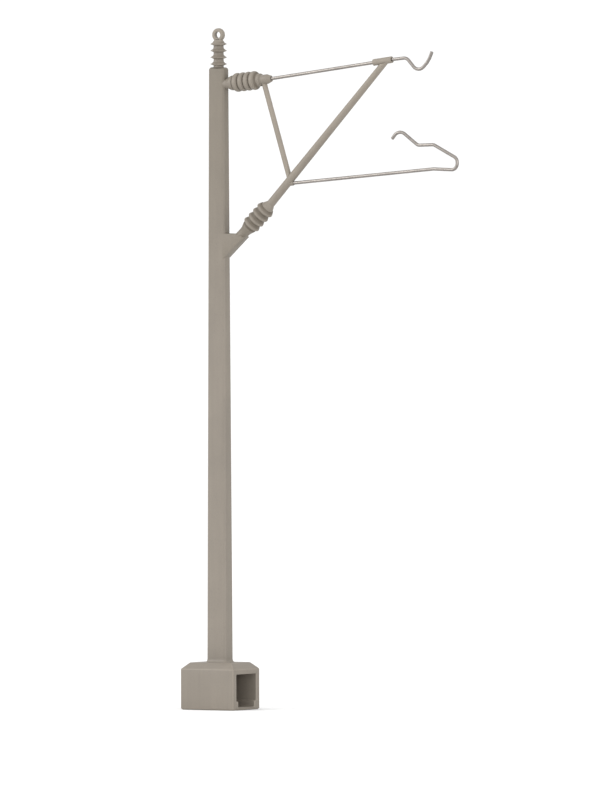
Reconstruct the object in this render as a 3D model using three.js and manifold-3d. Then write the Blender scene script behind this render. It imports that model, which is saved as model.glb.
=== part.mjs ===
// Model catenary mast for one railway track, H0 scale (1:87): a socketed foot, a tapered post and a
// cantilever on two insulators that holds a messenger wire hook and a steady arm.
// Millimetres, +Z up, +X from the mast towards the track, origin at the centre of the foot's underside.
// The whole cantilever lies in the plane Y = 0.

import * as THREE from "three";
import { mergeVertices } from "three/addons/utils/BufferGeometryUtils.js";
import Module from "manifold-3d";

const wasm = await Module();
wasm.setup();

// ---- Driving dimensions ----------------------------------------------------------------------

const GAP = 0.03; // between two pieces that touch
const RUNNING = 0.03; // radial clearance of a wire in its bore
const ROUND_SIDES = 20; // facets of a turned piece
const WIRE_SIDES = 8;
const BEND_STEP = 0.35; // radians of bend between two wire sections

// Foot: a hollow block that slides on a track clip
const FOOT_LENGTH = 9.1;
const FOOT_DEPTH = 7.35;
const FOOT_HEIGHT = 6.93;
const FOOT_CHAMFER_OUT = 1.0;
const FOOT_CHAMFER_DOWN = 0.95;
const FOOT_LOW_EDGE = 0.18; // bevel around the underside
const SOCKET_WIDTH = 5.4;
const SOCKET_CEILING = 5.26;
const SOCKET_FLOOR = 0.42;
const SOCKET_BACK_WALL = 0.9;
const RIB_HEIGHT = 1.3;
const RIB_REACH = 0.5;

// Post: tapered, with rounded corners
const POST_TOP = 94.2;
const POST_FOOT_SIZE = [3.37, 2.2]; // X and Y at the top of the foot
const POST_TOP_SIZE = [2.76, 1.52];
const POST_CORNER = 0.42;
const FILLET_HEIGHT = 0.6; // flare where the post leaves the foot
const FILLET_REACH = 0.18;
const TENON_SIZE = [1.9, 1.4];
const TENON_LENGTH = 1.1;

// Head insulator and its eye
const HEAD_PITCH = 0.98;
const HEAD_FIRST_SHED = 0.47; // above the top of the post
const HEAD_SHED_RADIUS = 1.2;
const HEAD_CORE_RADIUS = 0.77;
const HEAD_SHED_HALF_HEIGHT = 0.27;
const HEAD_LENGTH = 3.75;
const EYE_HEIGHT = 4.76; // centre of the eye above the top of the post
const EYE_RADIUS = 0.98;
const EYE_HOLE_RADIUS = 0.48;
const EYE_THICKNESS = 0.69;
const EYE_NECK_WIDTH = 1.38;

// Upper arm: along its own axis, measured from the post's face
const UPPER_ROOT_HEIGHT = 91.83;
const UPPER_SLOPE = THREE.MathUtils.degToRad(6.5);
const STUB_LENGTH = 1.37;
const STUB_ROOT_RADIUS = 0.72;
const STUB_END_RADIUS = 1.09;
const STUB_FLARE = [0.1, 0.96]; // where the stub starts and ends to widen
const UPPER_FIRST_SHED = 1.96;
const UPPER_PITCH = 0.97;
const UPPER_SHED_RADIUS = 1.4;
const UPPER_VALLEY_RADIUS = 1.1;
const UPPER_INSULATOR_END = 5.5;
const UPPER_FLANGE_RADIUS = 0.95;
const UPPER_FLANGE_END = 6.02;
const UPPER_COLLAR_RADIUS = 0.72;
const UPPER_COLLAR_END = 7.1;
const UPPER_CONE_RADIUS = 0.45;
const UPPER_CONE_END = 7.8;

// Lower arm: along its own axis, measured from the post's face
const LOWER_ROOT_HEIGHT = 67.37;
const LOWER_SLOPE = THREE.MathUtils.degToRad(43);
const GUSSET_TOP = 69.85;
const GUSSET_TOP_REACH = 3.1;
const GUSSET_THICKNESS = 1.72;
const GUSSET_EDGE = 0.72; // from the arm's axis down to the gusset's lower edge
const GUSSET_END = 3.75;
const GUSSET_TENON = { reach: 0.8, thickness: 0.9, height: 2.0, below: 1.6 };
const NECK_START = 1.6;
const NECK_RADIUS = 0.78;
const NECK_FLARE = 4.4;
const LOWER_INSULATOR_START = 5.3;
const LOWER_FIRST_SHED = 5.82;
const LOWER_PITCH = 1.025;
const LOWER_SHED_RADIUS = 1.35;
const LOWER_CORE_RADIUS = 1.1;
const LOWER_INSULATOR_END = 9.3;
const LOWER_COLLAR_RADIUS = 0.97;
const LOWER_COLLAR_END = 10.24;

// Tube: from the lower collar up to the messenger wire, a little steeper than the lower arm
const TUBE_SLOPE = THREE.MathUtils.degToRad(46.9);
const TUBE_LOW_RADIUS = 0.62;
const TUBE_HIGH_RADIUS = 0.47;
const TUBE_SPIGOT = 0.6;

// Pins and sockets that join the turned pieces end to end
const PIN_RADIUS = 0.42;
const PIN_LENGTH = 0.8;
const PIN_ROOT = 0.5; // how far a pin starts inside its own piece
const FINE_PIN_RADIUS = 0.2;
const FINE_PIN_SHORT = 0.2; // what a fine pin stops short of an axis

// Wires, strut and sleeve
const WIRE_RADIUS = 0.25;
const BORE_PAST = 4; // a wire's bore is cut this far past the wire's first end
const STRUT_RADIUS = 0.39;
const STRUT_TOP = [7.86, 92.05]; // X and Z, inside the collar
const STRUT_FOOT = [12.3, 77.92]; // X and Z, on the tube's axis
const SLEEVE_RADIUS = 0.5;
const SLEEVE_LENGTH = 3.2;
const SLEEVE_SETBACK = 0.6; // from the tube's end back towards the post
const SLEEVE_STEM_RADIUS = 0.22;
const SLEEVE_STEM_LENGTH = 1.6;
const ARM_BOSS_RADIUS = 0.36;
const ARM_BOSS_START = 0.9; // along the steady arm, inside the tube
const ARM_BOSS_LENGTH = 0.75;

// Each wire as its corners: X, Z and the radius it is bent to there
const MESSENGER_WIRE = [
  [7.9, 92.52, 0],
  [30.4, 95.97, 2.0],
  [32.5, 96.22, 1.0],
  [34.46, 94.13, 1.2],
  [36.41, 95.8, 4.5],
  [36.87, 97.2, 0],
];
const STEADY_ARM = [
  [11.3, 77.29, 0],
  [37.1, 80.0, 3.0],
  [41.2, 79.93, 0.95],
  [41.2, 81.61, 0.9],
  [37.14, 83.56, 0.8],
  [34.41, 83.42, 0.95],
  [31.14, 85.75, 1.3],
  [29.97, 84.28, 0],
];

// ---- Materials -------------------------------------------------------------------------------

const plastic = new THREE.MeshStandardMaterial({ color: 0x9c9488, roughness: 0.6, metalness: 0 });
const wireMetal = new THREE.MeshStandardMaterial({ color: 0xb5aea8, roughness: 0.35, metalness: 0.9 });

// ---- Solids and placing ----------------------------------------------------------------------

function solid(geometry) {
  const bare = geometry.clone();
  bare.deleteAttribute("normal");
  bare.deleteAttribute("uv");
  const merged = mergeVertices(bare, 1e-5);
  return new wasm.Manifold(
    new wasm.Mesh({
      numProp: 3,
      vertProperties: new Float32Array(merged.attributes.position.array),
      triVerts: new Uint32Array(merged.index.array),
    }),
  );
}

function geometryOf(manifold) {
  const mesh = manifold.getMesh();
  const geometry = new THREE.BufferGeometry();
  geometry.setAttribute("position", new THREE.BufferAttribute(mesh.vertProperties, 3));
  geometry.setIndex(new THREE.BufferAttribute(mesh.triVerts, 1));
  geometry.computeVertexNormals();
  return geometry;
}

function addPart(parent, name, manifold, material) {
  const mesh = new THREE.Mesh(geometryOf(manifold), material);
  mesh.name = name;
  parent.add(mesh);
}

// The frame of an arm that starts at (x, z) and rises at an angle from +X: its +Z runs along the arm
function armFrame(x, z, slope) {
  const turn = new THREE.Matrix4().makeRotationY(Math.PI / 2 - slope);
  return turn.setPosition(x, 0, z);
}

function frameBetween(from, to) {
  return armFrame(from[0], from[1], Math.atan2(to[1] - from[1], to[0] - from[0]));
}

function placed(geometry, matrix) {
  return geometry.clone().applyMatrix4(matrix);
}

function groupAt(parent, matrix) {
  const group = new THREE.Group();
  group.applyMatrix4(matrix);
  parent.add(group);
  return group;
}

// ---- Basic shapes ----------------------------------------------------------------------------

// A solid turned about +Z from [radius, height] points that start and end on the axis
function turned(profile, sides = ROUND_SIDES) {
  const points = profile.map(([radius, height]) => new THREE.Vector2(radius, height));
  return new THREE.LatheGeometry(points, sides).rotateX(Math.PI / 2);
}

function rod(radius, from, to, sides = ROUND_SIDES) {
  return turned([[0, from], [radius, from], [radius, to], [0, to]], sides);
}

// A flat plate in the XZ plane, centred on Y = 0
function plate(shape, thickness, curveSegments = 12) {
  const options = { depth: thickness, bevelEnabled: false, curveSegments };
  return new THREE.ExtrudeGeometry(shape, options).translate(0, 0, -thickness / 2).rotateX(Math.PI / 2);
}

function polygon(points) {
  return new THREE.Shape(points.map(([x, y]) => new THREE.Vector2(x, y)));
}

function block(sizeX, sizeY, low, high) {
  return new THREE.BoxGeometry(sizeX, sizeY, high - low).translate(0, 0, (low + high) / 2);
}

function roundedRectangle(sizeX, sizeY, corner) {
  const x = sizeX / 2 - corner;
  const y = sizeY / 2 - corner;
  const shape = new THREE.Shape();
  shape.absarc(x, y, corner, 0, Math.PI / 2);
  shape.absarc(-x, y, corner, Math.PI / 2, Math.PI);
  shape.absarc(-x, -y, corner, Math.PI, 1.5 * Math.PI);
  shape.absarc(x, -y, corner, 1.5 * Math.PI, 2 * Math.PI);
  return shape;
}

// A closed skin over rounded rectangles at rising levels of { height, sizeX, sizeY, corner }
function loft(levels, cornerDivisions = 2) {
  const rings = levels.map(({ height, sizeX, sizeY, corner }) =>
    roundedRectangle(sizeX, sizeY, corner)
      .getPoints(cornerDivisions)
      .map((point) => [point.x, point.y, height]),
  );
  const count = rings[0].length;
  const triangles = [];
  for (let level = 0; level + 1 < rings.length; level += 1) {
    for (let i = 0; i < count; i += 1) {
      const next = (i + 1) % count;
      const low = level * count;
      const high = low + count;
      triangles.push(low + i, low + next, high + next, low + i, high + next, high + i);
    }
  }
  const top = (rings.length - 1) * count;
  for (let i = 1; i + 1 < count; i += 1) {
    triangles.push(0, i + 1, i, top, top + i, top + i + 1);
  }
  const geometry = new THREE.BufferGeometry();
  geometry.setAttribute("position", new THREE.Float32BufferAttribute(rings.flat(2), 3));
  geometry.setIndex(triangles);
  return geometry;
}

// ---- Wire ------------------------------------------------------------------------------------

// A wire's centre line in the plane Y = 0: straight runs joined by round bends. Its sections lie at
// the ends and in the bends only, so a straight run has none in between.
class WirePath extends THREE.Curve {
  constructor(corners) {
    super();
    this.stations = [];
    const points = corners.map(([x, z]) => new THREE.Vector2(x, z));
    const last = points.length - 1;
    this.addStation(points[0], points[1].clone().sub(points[0]).angle());
    for (let i = 1; i < last; i += 1) {
      this.addBend(points[i - 1], points[i], points[i + 1], corners[i][2]);
    }
    this.addStation(points[last], points[last].clone().sub(points[last - 1]).angle());
  }

  addStation(point, heading) {
    const tangent = new THREE.Vector3(Math.cos(heading), 0, Math.sin(heading));
    this.stations.push({ point: new THREE.Vector3(point.x, 0, point.y), tangent });
  }

  addBend(before, corner, after, radius) {
    const heading = corner.clone().sub(before).angle();
    const turn = Math.atan2(
      Math.sin(after.clone().sub(corner).angle() - heading),
      Math.cos(after.clone().sub(corner).angle() - heading),
    );
    const side = Math.sign(turn);
    const setback = radius * Math.tan(Math.abs(turn) / 2);
    const centre = new THREE.Vector2(
      corner.x - setback * Math.cos(heading) - side * radius * Math.sin(heading),
      corner.y - setback * Math.sin(heading) + side * radius * Math.cos(heading),
    );
    const steps = Math.max(2, Math.ceil(Math.abs(turn) / BEND_STEP));
    for (let i = 0; i <= steps; i += 1) {
      const angle = heading + (turn * i) / steps;
      const point = new THREE.Vector2(
        centre.x + side * radius * Math.sin(angle),
        centre.y - side * radius * Math.cos(angle),
      );
      this.addStation(point, angle);
    }
  }

  station(t) {
    return this.stations[Math.round(t * (this.stations.length - 1))];
  }

  getPoint(t) {
    return this.station(t).point.clone();
  }

  getTangent(t) {
    return this.station(t).tangent.clone();
  }

  getUtoTmapping(u) {
    return u;
  }
}

function wire(corners) {
  const path = new WirePath(corners);
  const section = new THREE.Shape();
  section.absarc(0, 0, WIRE_RADIUS, 0, 2 * Math.PI);
  return new THREE.ExtrudeGeometry(section, {
    extrudePath: path,
    steps: path.stations.length - 1,
    curveSegments: WIRE_SIDES,
  });
}

// A cylinder along a wire's first run, to bore its sockets
function wireBore(corners) {
  const frame = frameBetween(corners[0], corners[1]);
  return placed(rod(WIRE_RADIUS + RUNNING, -GAP, BORE_PAST, 16), frame);
}

// ---- Frames ----------------------------------------------------------------------------------

function postSizeAt(height, axis) {
  const share = (height - FOOT_HEIGHT) / (POST_TOP - FOOT_HEIGHT);
  return THREE.MathUtils.lerp(POST_FOOT_SIZE[axis], POST_TOP_SIZE[axis], share);
}

const headFrame = new THREE.Matrix4().makeTranslation(0, 0, POST_TOP);
const upperFrame = armFrame(postSizeAt(UPPER_ROOT_HEIGHT, 0) / 2, UPPER_ROOT_HEIGHT, UPPER_SLOPE);
const lowerFrame = armFrame(postSizeAt(LOWER_ROOT_HEIGHT, 0) / 2, LOWER_ROOT_HEIGHT, LOWER_SLOPE);
const strutFrame = frameBetween(STRUT_TOP, STRUT_FOOT);
const strutLength = Math.hypot(STRUT_FOOT[0] - STRUT_TOP[0], STRUT_FOOT[1] - STRUT_TOP[1]);

// X and Z of a point on the lower arm's frame, "across" being towards its underside
function lowerArmPoint(along, across) {
  const point = new THREE.Vector3(across, 0, along).applyMatrix4(lowerFrame);
  return [point.x, point.z];
}

const tubeStart = lowerArmPoint(LOWER_COLLAR_END, 0);
const tubeFrame = armFrame(tubeStart[0], tubeStart[1], TUBE_SLOPE);

// How far along a frame's axis it meets the axis of another frame
function travelToCrossing(frame, other) {
  const [a, b] = [frame, other].map((matrix) => new THREE.Vector3().setFromMatrixColumn(matrix, 2));
  const between = new THREE.Vector3()
    .setFromMatrixPosition(other)
    .sub(new THREE.Vector3().setFromMatrixPosition(frame));
  return (between.x * b.z - between.z * b.x) / (a.x * b.z - a.z * b.x);
}

// The sleeve sits on the messenger wire, where the tube's axis meets it
const messengerFrame = frameBetween(MESSENGER_WIRE[0], MESSENGER_WIRE[1]);
const tubeLength = travelToCrossing(tubeFrame, messengerFrame);
const sleeveTravel = travelToCrossing(messengerFrame, tubeFrame) - SLEEVE_SETBACK;
const sleeveShift = new THREE.Matrix4().makeTranslation(0, 0, sleeveTravel);
const sleeveFrame = messengerFrame.clone().multiply(sleeveShift);

// ---- Foot and post ---------------------------------------------------------------------------

function footOutline(size) {
  const half = size / 2;
  const ledge = FOOT_HEIGHT - FOOT_CHAMFER_DOWN;
  return polygon([
    [-half + FOOT_LOW_EDGE, 0],
    [half - FOOT_LOW_EDGE, 0],
    [half, FOOT_LOW_EDGE],
    [half, ledge],
    [half - FOOT_CHAMFER_OUT, FOOT_HEIGHT],
    [-half + FOOT_CHAMFER_OUT, FOOT_HEIGHT],
    [-half, ledge],
    [-half, FOOT_LOW_EDGE],
  ]);
}

// The socket's cross-section in Y and Z, narrowed at the bottom by a rib along each side
function socketOutline() {
  const wide = SOCKET_WIDTH / 2;
  const narrow = wide - RIB_REACH;
  return polygon([
    [-narrow, SOCKET_FLOOR],
    [narrow, SOCKET_FLOOR],
    [narrow, RIB_HEIGHT],
    [wide, RIB_HEIGHT],
    [wide, SOCKET_CEILING],
    [-wide, SOCKET_CEILING],
    [-wide, RIB_HEIGHT],
    [-narrow, RIB_HEIGHT],
  ]);
}

function foot() {
  const along = plate(footOutline(FOOT_LENGTH), FOOT_DEPTH);
  const across = plate(footOutline(FOOT_DEPTH), FOOT_LENGTH).rotateZ(Math.PI / 2);
  const socket = plate(socketOutline(), FOOT_LENGTH)
    .rotateZ(Math.PI / 2)
    .translate(SOCKET_BACK_WALL, 0, 0);
  const mortise = block(
    TENON_SIZE[0] + 2 * GAP,
    TENON_SIZE[1] + 2 * GAP,
    FOOT_HEIGHT - TENON_LENGTH - GAP,
    FOOT_HEIGHT + 1,
  );
  return solid(along).intersect(solid(across)).subtract(solid(socket)).subtract(solid(mortise));
}

// The post's outer skin, grown all round by a margin
function postSkin(margin = 0) {
  const level = (height, inset) => ({
    height,
    sizeX: postSizeAt(height, 0) - 2 * inset + 2 * margin,
    sizeY: postSizeAt(height, 1) - 2 * inset + 2 * margin,
    corner: Math.max(POST_CORNER - Math.max(inset, 0), 0.04) + margin,
  });
  const base = FOOT_HEIGHT + GAP;
  const levels = [1, 0.45, 0.15, 0].map((flare, i) =>
    level(base + FILLET_HEIGHT * [0, 0.22, 0.55, 1][i], -FILLET_REACH * flare),
  );
  for (const step of [0, 1, 2, 3]) {
    const angle = (step * Math.PI) / 6;
    const height = POST_TOP - POST_CORNER * (1 - Math.sin(angle));
    levels.push(level(height, POST_CORNER * (1 - Math.cos(angle))));
  }
  return loft(levels);
}

// The lower bracket's tenon, let into the post's face
function gussetTenon(margin = 0) {
  const { reach, thickness, height, below } = GUSSET_TENON;
  const face = postSizeAt(LOWER_ROOT_HEIGHT, 0) / 2;
  return new THREE.BoxGeometry(2 * (reach + margin), thickness + 2 * margin, height + 2 * margin)
    .translate(face, 0, GUSSET_TOP - below);
}

function stubPin(margin = 0) {
  return rod(PIN_RADIUS + margin, -PIN_LENGTH - margin, PIN_ROOT);
}

function mastPost() {
  const tenon = block(TENON_SIZE[0], TENON_SIZE[1], FOOT_HEIGHT - TENON_LENGTH, FOOT_HEIGHT + 1);
  const headSocket = placed(rod(PIN_RADIUS + GAP, -PIN_LENGTH - GAP, 1), headFrame);
  return solid(postSkin())
    .add(solid(tenon))
    .subtract(solid(headSocket))
    .subtract(solid(placed(stubPin(GAP), upperFrame)))
    .subtract(solid(gussetTenon(GAP)));
}

// ---- Head insulator --------------------------------------------------------------------------

function headInsulator() {
  const sheds = [0, 1, 2, 3].flatMap((i) => {
    const height = HEAD_FIRST_SHED + i * HEAD_PITCH;
    return [
      [HEAD_CORE_RADIUS, height - HEAD_SHED_HALF_HEIGHT],
      [HEAD_SHED_RADIUS, height - 0.04],
      [HEAD_SHED_RADIUS, height + 0.04],
      [HEAD_CORE_RADIUS, height + HEAD_SHED_HALF_HEIGHT],
    ];
  });
  return solid(turned([
    [0, -PIN_LENGTH],
    [PIN_RADIUS, -PIN_LENGTH],
    [PIN_RADIUS, GAP],
    [HEAD_CORE_RADIUS, GAP],
    ...sheds,
    [HEAD_CORE_RADIUS - 0.06, HEAD_LENGTH],
    [FINE_PIN_RADIUS + GAP, HEAD_LENGTH],
    [FINE_PIN_RADIUS + GAP, HEAD_LENGTH - PIN_LENGTH],
    [0, HEAD_LENGTH - PIN_LENGTH],
  ]));
}

function headEye() {
  const ring = new THREE.Shape();
  ring.absarc(0, EYE_HEIGHT, EYE_RADIUS, 0, 2 * Math.PI);
  ring.holes.push(new THREE.Path().absarc(0, EYE_HEIGHT, EYE_HOLE_RADIUS, 0, 2 * Math.PI, true));
  const neckTop = EYE_HEIGHT - EYE_HOLE_RADIUS - 0.1;
  const neck = block(EYE_NECK_WIDTH, EYE_THICKNESS, HEAD_LENGTH + GAP, neckTop);
  const pin = rod(FINE_PIN_RADIUS, HEAD_LENGTH - PIN_LENGTH + GAP, neckTop - 0.2, 12);
  return solid(plate(ring, EYE_THICKNESS, 20)).add(solid(neck)).add(solid(pin));
}

// ---- Upper arm -------------------------------------------------------------------------------

function upperBracket() {
  const stub = turned([
    [0, -0.3],
    [STUB_ROOT_RADIUS, -0.3],
    [STUB_ROOT_RADIUS, STUB_FLARE[0]],
    [STUB_END_RADIUS, STUB_FLARE[1]],
    [STUB_END_RADIUS, STUB_LENGTH],
    [PIN_RADIUS, STUB_LENGTH],
    [PIN_RADIUS, STUB_LENGTH + PIN_LENGTH],
    [0, STUB_LENGTH + PIN_LENGTH],
  ]);
  const post = placed(postSkin(GAP), upperFrame.clone().invert());
  return solid(stub).subtract(solid(post)).add(solid(stubPin()));
}

function upperInsulator() {
  const start = STUB_LENGTH + GAP;
  const socket = PIN_RADIUS + GAP;
  const sheds = [0, 1, 2, 3].flatMap((i) => {
    const along = UPPER_FIRST_SHED + i * UPPER_PITCH;
    return [
      [UPPER_VALLEY_RADIUS, along - UPPER_PITCH * 0.42],
      [UPPER_SHED_RADIUS - 0.03, along - UPPER_PITCH * 0.2],
      [UPPER_SHED_RADIUS, along],
      [UPPER_SHED_RADIUS - 0.03, along + UPPER_PITCH * 0.2],
      [UPPER_VALLEY_RADIUS, along + UPPER_PITCH * 0.42],
    ];
  });
  return solid(turned([
    [0, start + PIN_LENGTH],
    [socket, start + PIN_LENGTH],
    [socket, start],
    [STUB_END_RADIUS, start],
    ...sheds,
    [UPPER_FLANGE_RADIUS, UPPER_INSULATOR_END],
    [socket, UPPER_INSULATOR_END],
    [socket, UPPER_INSULATOR_END - PIN_LENGTH - GAP],
    [0, UPPER_INSULATOR_END - PIN_LENGTH - GAP],
  ]));
}

function upperCollarBody(margin = 0) {
  const start = UPPER_INSULATOR_END + GAP;
  return turned([
    [0, start - margin],
    [UPPER_FLANGE_RADIUS + margin, start - margin],
    [UPPER_FLANGE_RADIUS + margin, UPPER_FLANGE_END + margin],
    [UPPER_COLLAR_RADIUS + margin, UPPER_FLANGE_END + margin],
    [UPPER_COLLAR_RADIUS + margin, UPPER_COLLAR_END + margin],
    [UPPER_CONE_RADIUS + margin, UPPER_CONE_END + margin],
    [0, UPPER_CONE_END + margin],
  ]);
}

function upperCollar() {
  const pin = rod(PIN_RADIUS, UPPER_INSULATOR_END - PIN_LENGTH, UPPER_INSULATOR_END + 0.2);
  const toArm = upperFrame.clone().invert();
  const bore = placed(wireBore(MESSENGER_WIRE), toArm);
  const strutHole = placed(strutPin(GAP), toArm.clone().multiply(strutFrame));
  return solid(upperCollarBody()).add(solid(pin)).subtract(solid(bore)).subtract(solid(strutHole));
}

// ---- Strut -----------------------------------------------------------------------------------

// The strut's core, which is let into the collar above and the tube below
function strutPin(margin = 0) {
  return rod(FINE_PIN_RADIUS + margin, -margin, strutLength - FINE_PIN_SHORT + margin, 12);
}

function strut() {
  const toStrut = strutFrame.clone().invert();
  const collar = placed(upperCollarBody(GAP), toStrut.clone().multiply(upperFrame));
  const tube = placed(tubeBody(GAP), toStrut.clone().multiply(tubeFrame));
  return solid(rod(STRUT_RADIUS, 0, strutLength))
    .subtract(solid(collar))
    .subtract(solid(tube))
    .add(solid(strutPin()));
}

// ---- Lower arm -------------------------------------------------------------------------------

function lowerBracket() {
  const root = postSizeAt(GUSSET_TOP, 0) / 2 - POST_CORNER;
  const underside = lowerArmPoint(GUSSET_END, GUSSET_EDGE);
  const gusset = plate(polygon([
    [root, underside[1] - (underside[0] - root) * Math.tan(LOWER_SLOPE)],
    underside,
    [GUSSET_TOP_REACH, GUSSET_TOP],
    [root, GUSSET_TOP],
  ]), GUSSET_THICKNESS);
  const neck = turned([
    [0, NECK_START],
    [NECK_RADIUS, NECK_START],
    [NECK_RADIUS, NECK_FLARE],
    [LOWER_CORE_RADIUS, LOWER_INSULATOR_START - GAP],
    [PIN_RADIUS, LOWER_INSULATOR_START - GAP],
    [PIN_RADIUS, LOWER_INSULATOR_START + PIN_LENGTH],
    [0, LOWER_INSULATOR_START + PIN_LENGTH],
  ]);
  return solid(gusset)
    .add(solid(placed(neck, lowerFrame)))
    .subtract(solid(postSkin(GAP)))
    .add(solid(gussetTenon()));
}

function lowerInsulator() {
  const start = LOWER_INSULATOR_START;
  const socket = PIN_RADIUS + GAP;
  const sheds = [0, 1, 2, 3].flatMap((i) => {
    const along = LOWER_FIRST_SHED + i * LOWER_PITCH;
    return [
      [LOWER_CORE_RADIUS, along - 0.3],
      [LOWER_SHED_RADIUS, along - 0.15],
      [LOWER_SHED_RADIUS, along + 0.15],
      [LOWER_CORE_RADIUS, along + 0.3],
    ];
  });
  return solid(turned([
    [0, start + PIN_LENGTH + GAP],
    [socket, start + PIN_LENGTH + GAP],
    [socket, start],
    [LOWER_CORE_RADIUS, start],
    ...sheds,
    [LOWER_COLLAR_RADIUS, LOWER_INSULATOR_END],
    [socket, LOWER_INSULATOR_END],
    [socket, LOWER_INSULATOR_END - PIN_LENGTH - GAP],
    [0, LOWER_INSULATOR_END - PIN_LENGTH - GAP],
  ]));
}

function lowerCollarBody(margin = 0) {
  const start = LOWER_INSULATOR_END + GAP;
  return turned([
    [0, start],
    [LOWER_COLLAR_RADIUS + margin, start],
    [TUBE_LOW_RADIUS + margin, LOWER_COLLAR_END + margin],
    [0, LOWER_COLLAR_END + margin],
  ]);
}

function tubeSpigot(margin = 0) {
  return rod(PIN_RADIUS + margin, -TUBE_SPIGOT - margin, PIN_ROOT);
}

function lowerCollar() {
  const pin = rod(PIN_RADIUS, LOWER_INSULATOR_END - PIN_LENGTH, LOWER_INSULATOR_END + GAP);
  const socket = placed(tubeSpigot(GAP), lowerFrame.clone().invert().multiply(tubeFrame));
  return solid(lowerCollarBody()).subtract(solid(socket)).add(solid(pin));
}

// ---- Tube and sleeve -------------------------------------------------------------------------

function tubeBody(margin = 0) {
  return turned([
    [0, 0],
    [TUBE_LOW_RADIUS + margin, 0],
    [TUBE_HIGH_RADIUS + margin, tubeLength],
    [0, tubeLength],
  ]);
}

// The steady arm's boss runs along the wire, from inside the tube to just past its skin
function armBoss() {
  const boss = rod(ARM_BOSS_RADIUS, ARM_BOSS_START, ARM_BOSS_START + ARM_BOSS_LENGTH);
  return placed(boss, frameBetween(STEADY_ARM[0], STEADY_ARM[1]));
}

function sleeveStem(margin = 0) {
  return rod(SLEEVE_STEM_RADIUS + margin, tubeLength - SLEEVE_STEM_LENGTH - margin, tubeLength, 12);
}

function cantileverTube() {
  const toTube = tubeFrame.clone().invert();
  const collar = placed(lowerCollarBody(GAP), toTube.clone().multiply(lowerFrame));
  const sleeve = rod(SLEEVE_RADIUS + GAP, -SLEEVE_LENGTH, SLEEVE_LENGTH);
  return solid(tubeBody())
    .subtract(solid(collar))
    .add(solid(tubeSpigot()))
    .add(solid(placed(armBoss(), toTube)))
    .subtract(solid(placed(sleeve, toTube.clone().multiply(sleeveFrame))))
    .subtract(solid(sleeveStem(GAP)))
    .subtract(solid(placed(strutPin(GAP), toTube.clone().multiply(strutFrame))))
    .subtract(solid(placed(wireBore(STEADY_ARM), toTube)));
}

function wireSleeve() {
  const stem = placed(sleeveStem(), sleeveFrame.clone().invert().multiply(tubeFrame));
  const bore = rod(WIRE_RADIUS + RUNNING, -SLEEVE_LENGTH, SLEEVE_LENGTH, 16);
  return solid(rod(SLEEVE_RADIUS, -SLEEVE_LENGTH / 2, SLEEVE_LENGTH / 2))
    .add(solid(stem))
    .subtract(solid(bore));
}

// ---- Assembly --------------------------------------------------------------------------------

const mast = new THREE.Group();
addPart(mast, "foot", foot(), plastic);
addPart(mast, "mast_post", mastPost(), plastic);

const head = groupAt(mast, headFrame);
addPart(head, "head_insulator", headInsulator(), plastic);
addPart(head, "head_eye", headEye(), plastic);

const upperArm = groupAt(mast, upperFrame);
addPart(upperArm, "upper_bracket", upperBracket(), plastic);
addPart(upperArm, "upper_insulator", upperInsulator(), plastic);
addPart(upperArm, "upper_collar", upperCollar(), plastic);

addPart(mast, "lower_bracket", lowerBracket(), plastic);
const lowerArm = groupAt(mast, lowerFrame);
addPart(lowerArm, "lower_insulator", lowerInsulator(), plastic);
addPart(lowerArm, "lower_collar", lowerCollar(), plastic);

addPart(groupAt(mast, tubeFrame), "cantilever_tube", cantileverTube(), plastic);

addPart(groupAt(mast, strutFrame), "strut", strut(), plastic);
addPart(groupAt(mast, sleeveFrame), "wire_sleeve", wireSleeve(), plastic);

addPart(mast, "messenger_wire", solid(wire(MESSENGER_WIRE)), wireMetal);
addPart(mast, "steady_arm", solid(wire(STEADY_ARM)), wireMetal);

export default mast;
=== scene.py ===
"""Looks of a model catenary mast: satin grey moulded plastic, with two bent wires.

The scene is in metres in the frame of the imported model: +Z up the post, +X towards the track.
Sizes below are in millimetres in that frame, and MM turns them into metres.
"""

import math

import bmesh
import bpy
from mathutils import Matrix, Vector


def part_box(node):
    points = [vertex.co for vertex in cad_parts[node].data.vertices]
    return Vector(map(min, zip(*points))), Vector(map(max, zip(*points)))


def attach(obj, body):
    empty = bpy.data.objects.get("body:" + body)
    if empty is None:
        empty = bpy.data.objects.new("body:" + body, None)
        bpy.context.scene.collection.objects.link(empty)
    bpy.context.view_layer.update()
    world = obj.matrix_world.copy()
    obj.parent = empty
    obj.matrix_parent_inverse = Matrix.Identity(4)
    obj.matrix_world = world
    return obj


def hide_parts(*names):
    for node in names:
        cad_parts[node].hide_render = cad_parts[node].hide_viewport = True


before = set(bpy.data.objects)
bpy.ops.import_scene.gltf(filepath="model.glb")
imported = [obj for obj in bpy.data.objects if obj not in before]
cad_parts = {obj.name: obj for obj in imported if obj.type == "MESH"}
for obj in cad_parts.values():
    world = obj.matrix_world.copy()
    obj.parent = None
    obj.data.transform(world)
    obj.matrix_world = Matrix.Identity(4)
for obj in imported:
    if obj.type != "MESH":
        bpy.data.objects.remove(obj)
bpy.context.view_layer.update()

MM = 0.001

# ---- Sizes -------------------------------------------------------------------------------------

TURNED_SIDES = 48
WIRE_SIDES = 20
CORNER_STEPS = 5  # in each rounded corner of the foot, the post and the eye's neck
ARC_STEP = 0.2  # radians between two sections of a bend
GAP = 0.03  # that the CAD leaves between one piece and the next along an arm
ROD_EDGE = 0.06  # the bevel at the ends of the strut and the boss

FOOT_CHAMFER = (1.0, 0.95)  # in from the sides, and down from the top
FOOT_LOW_EDGE = 0.18
FOOT_CORNER = 0.16
FOOT_EDGE_ROUNDING = 0.13
SOCKET_WIDTH = 5.4
SOCKET_FLOOR = 0.42
SOCKET_CEILING = 5.26
SOCKET_BACK_WALL = 0.9
RIB_HEIGHT = 1.3
RIB_REACH = 0.5

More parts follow.
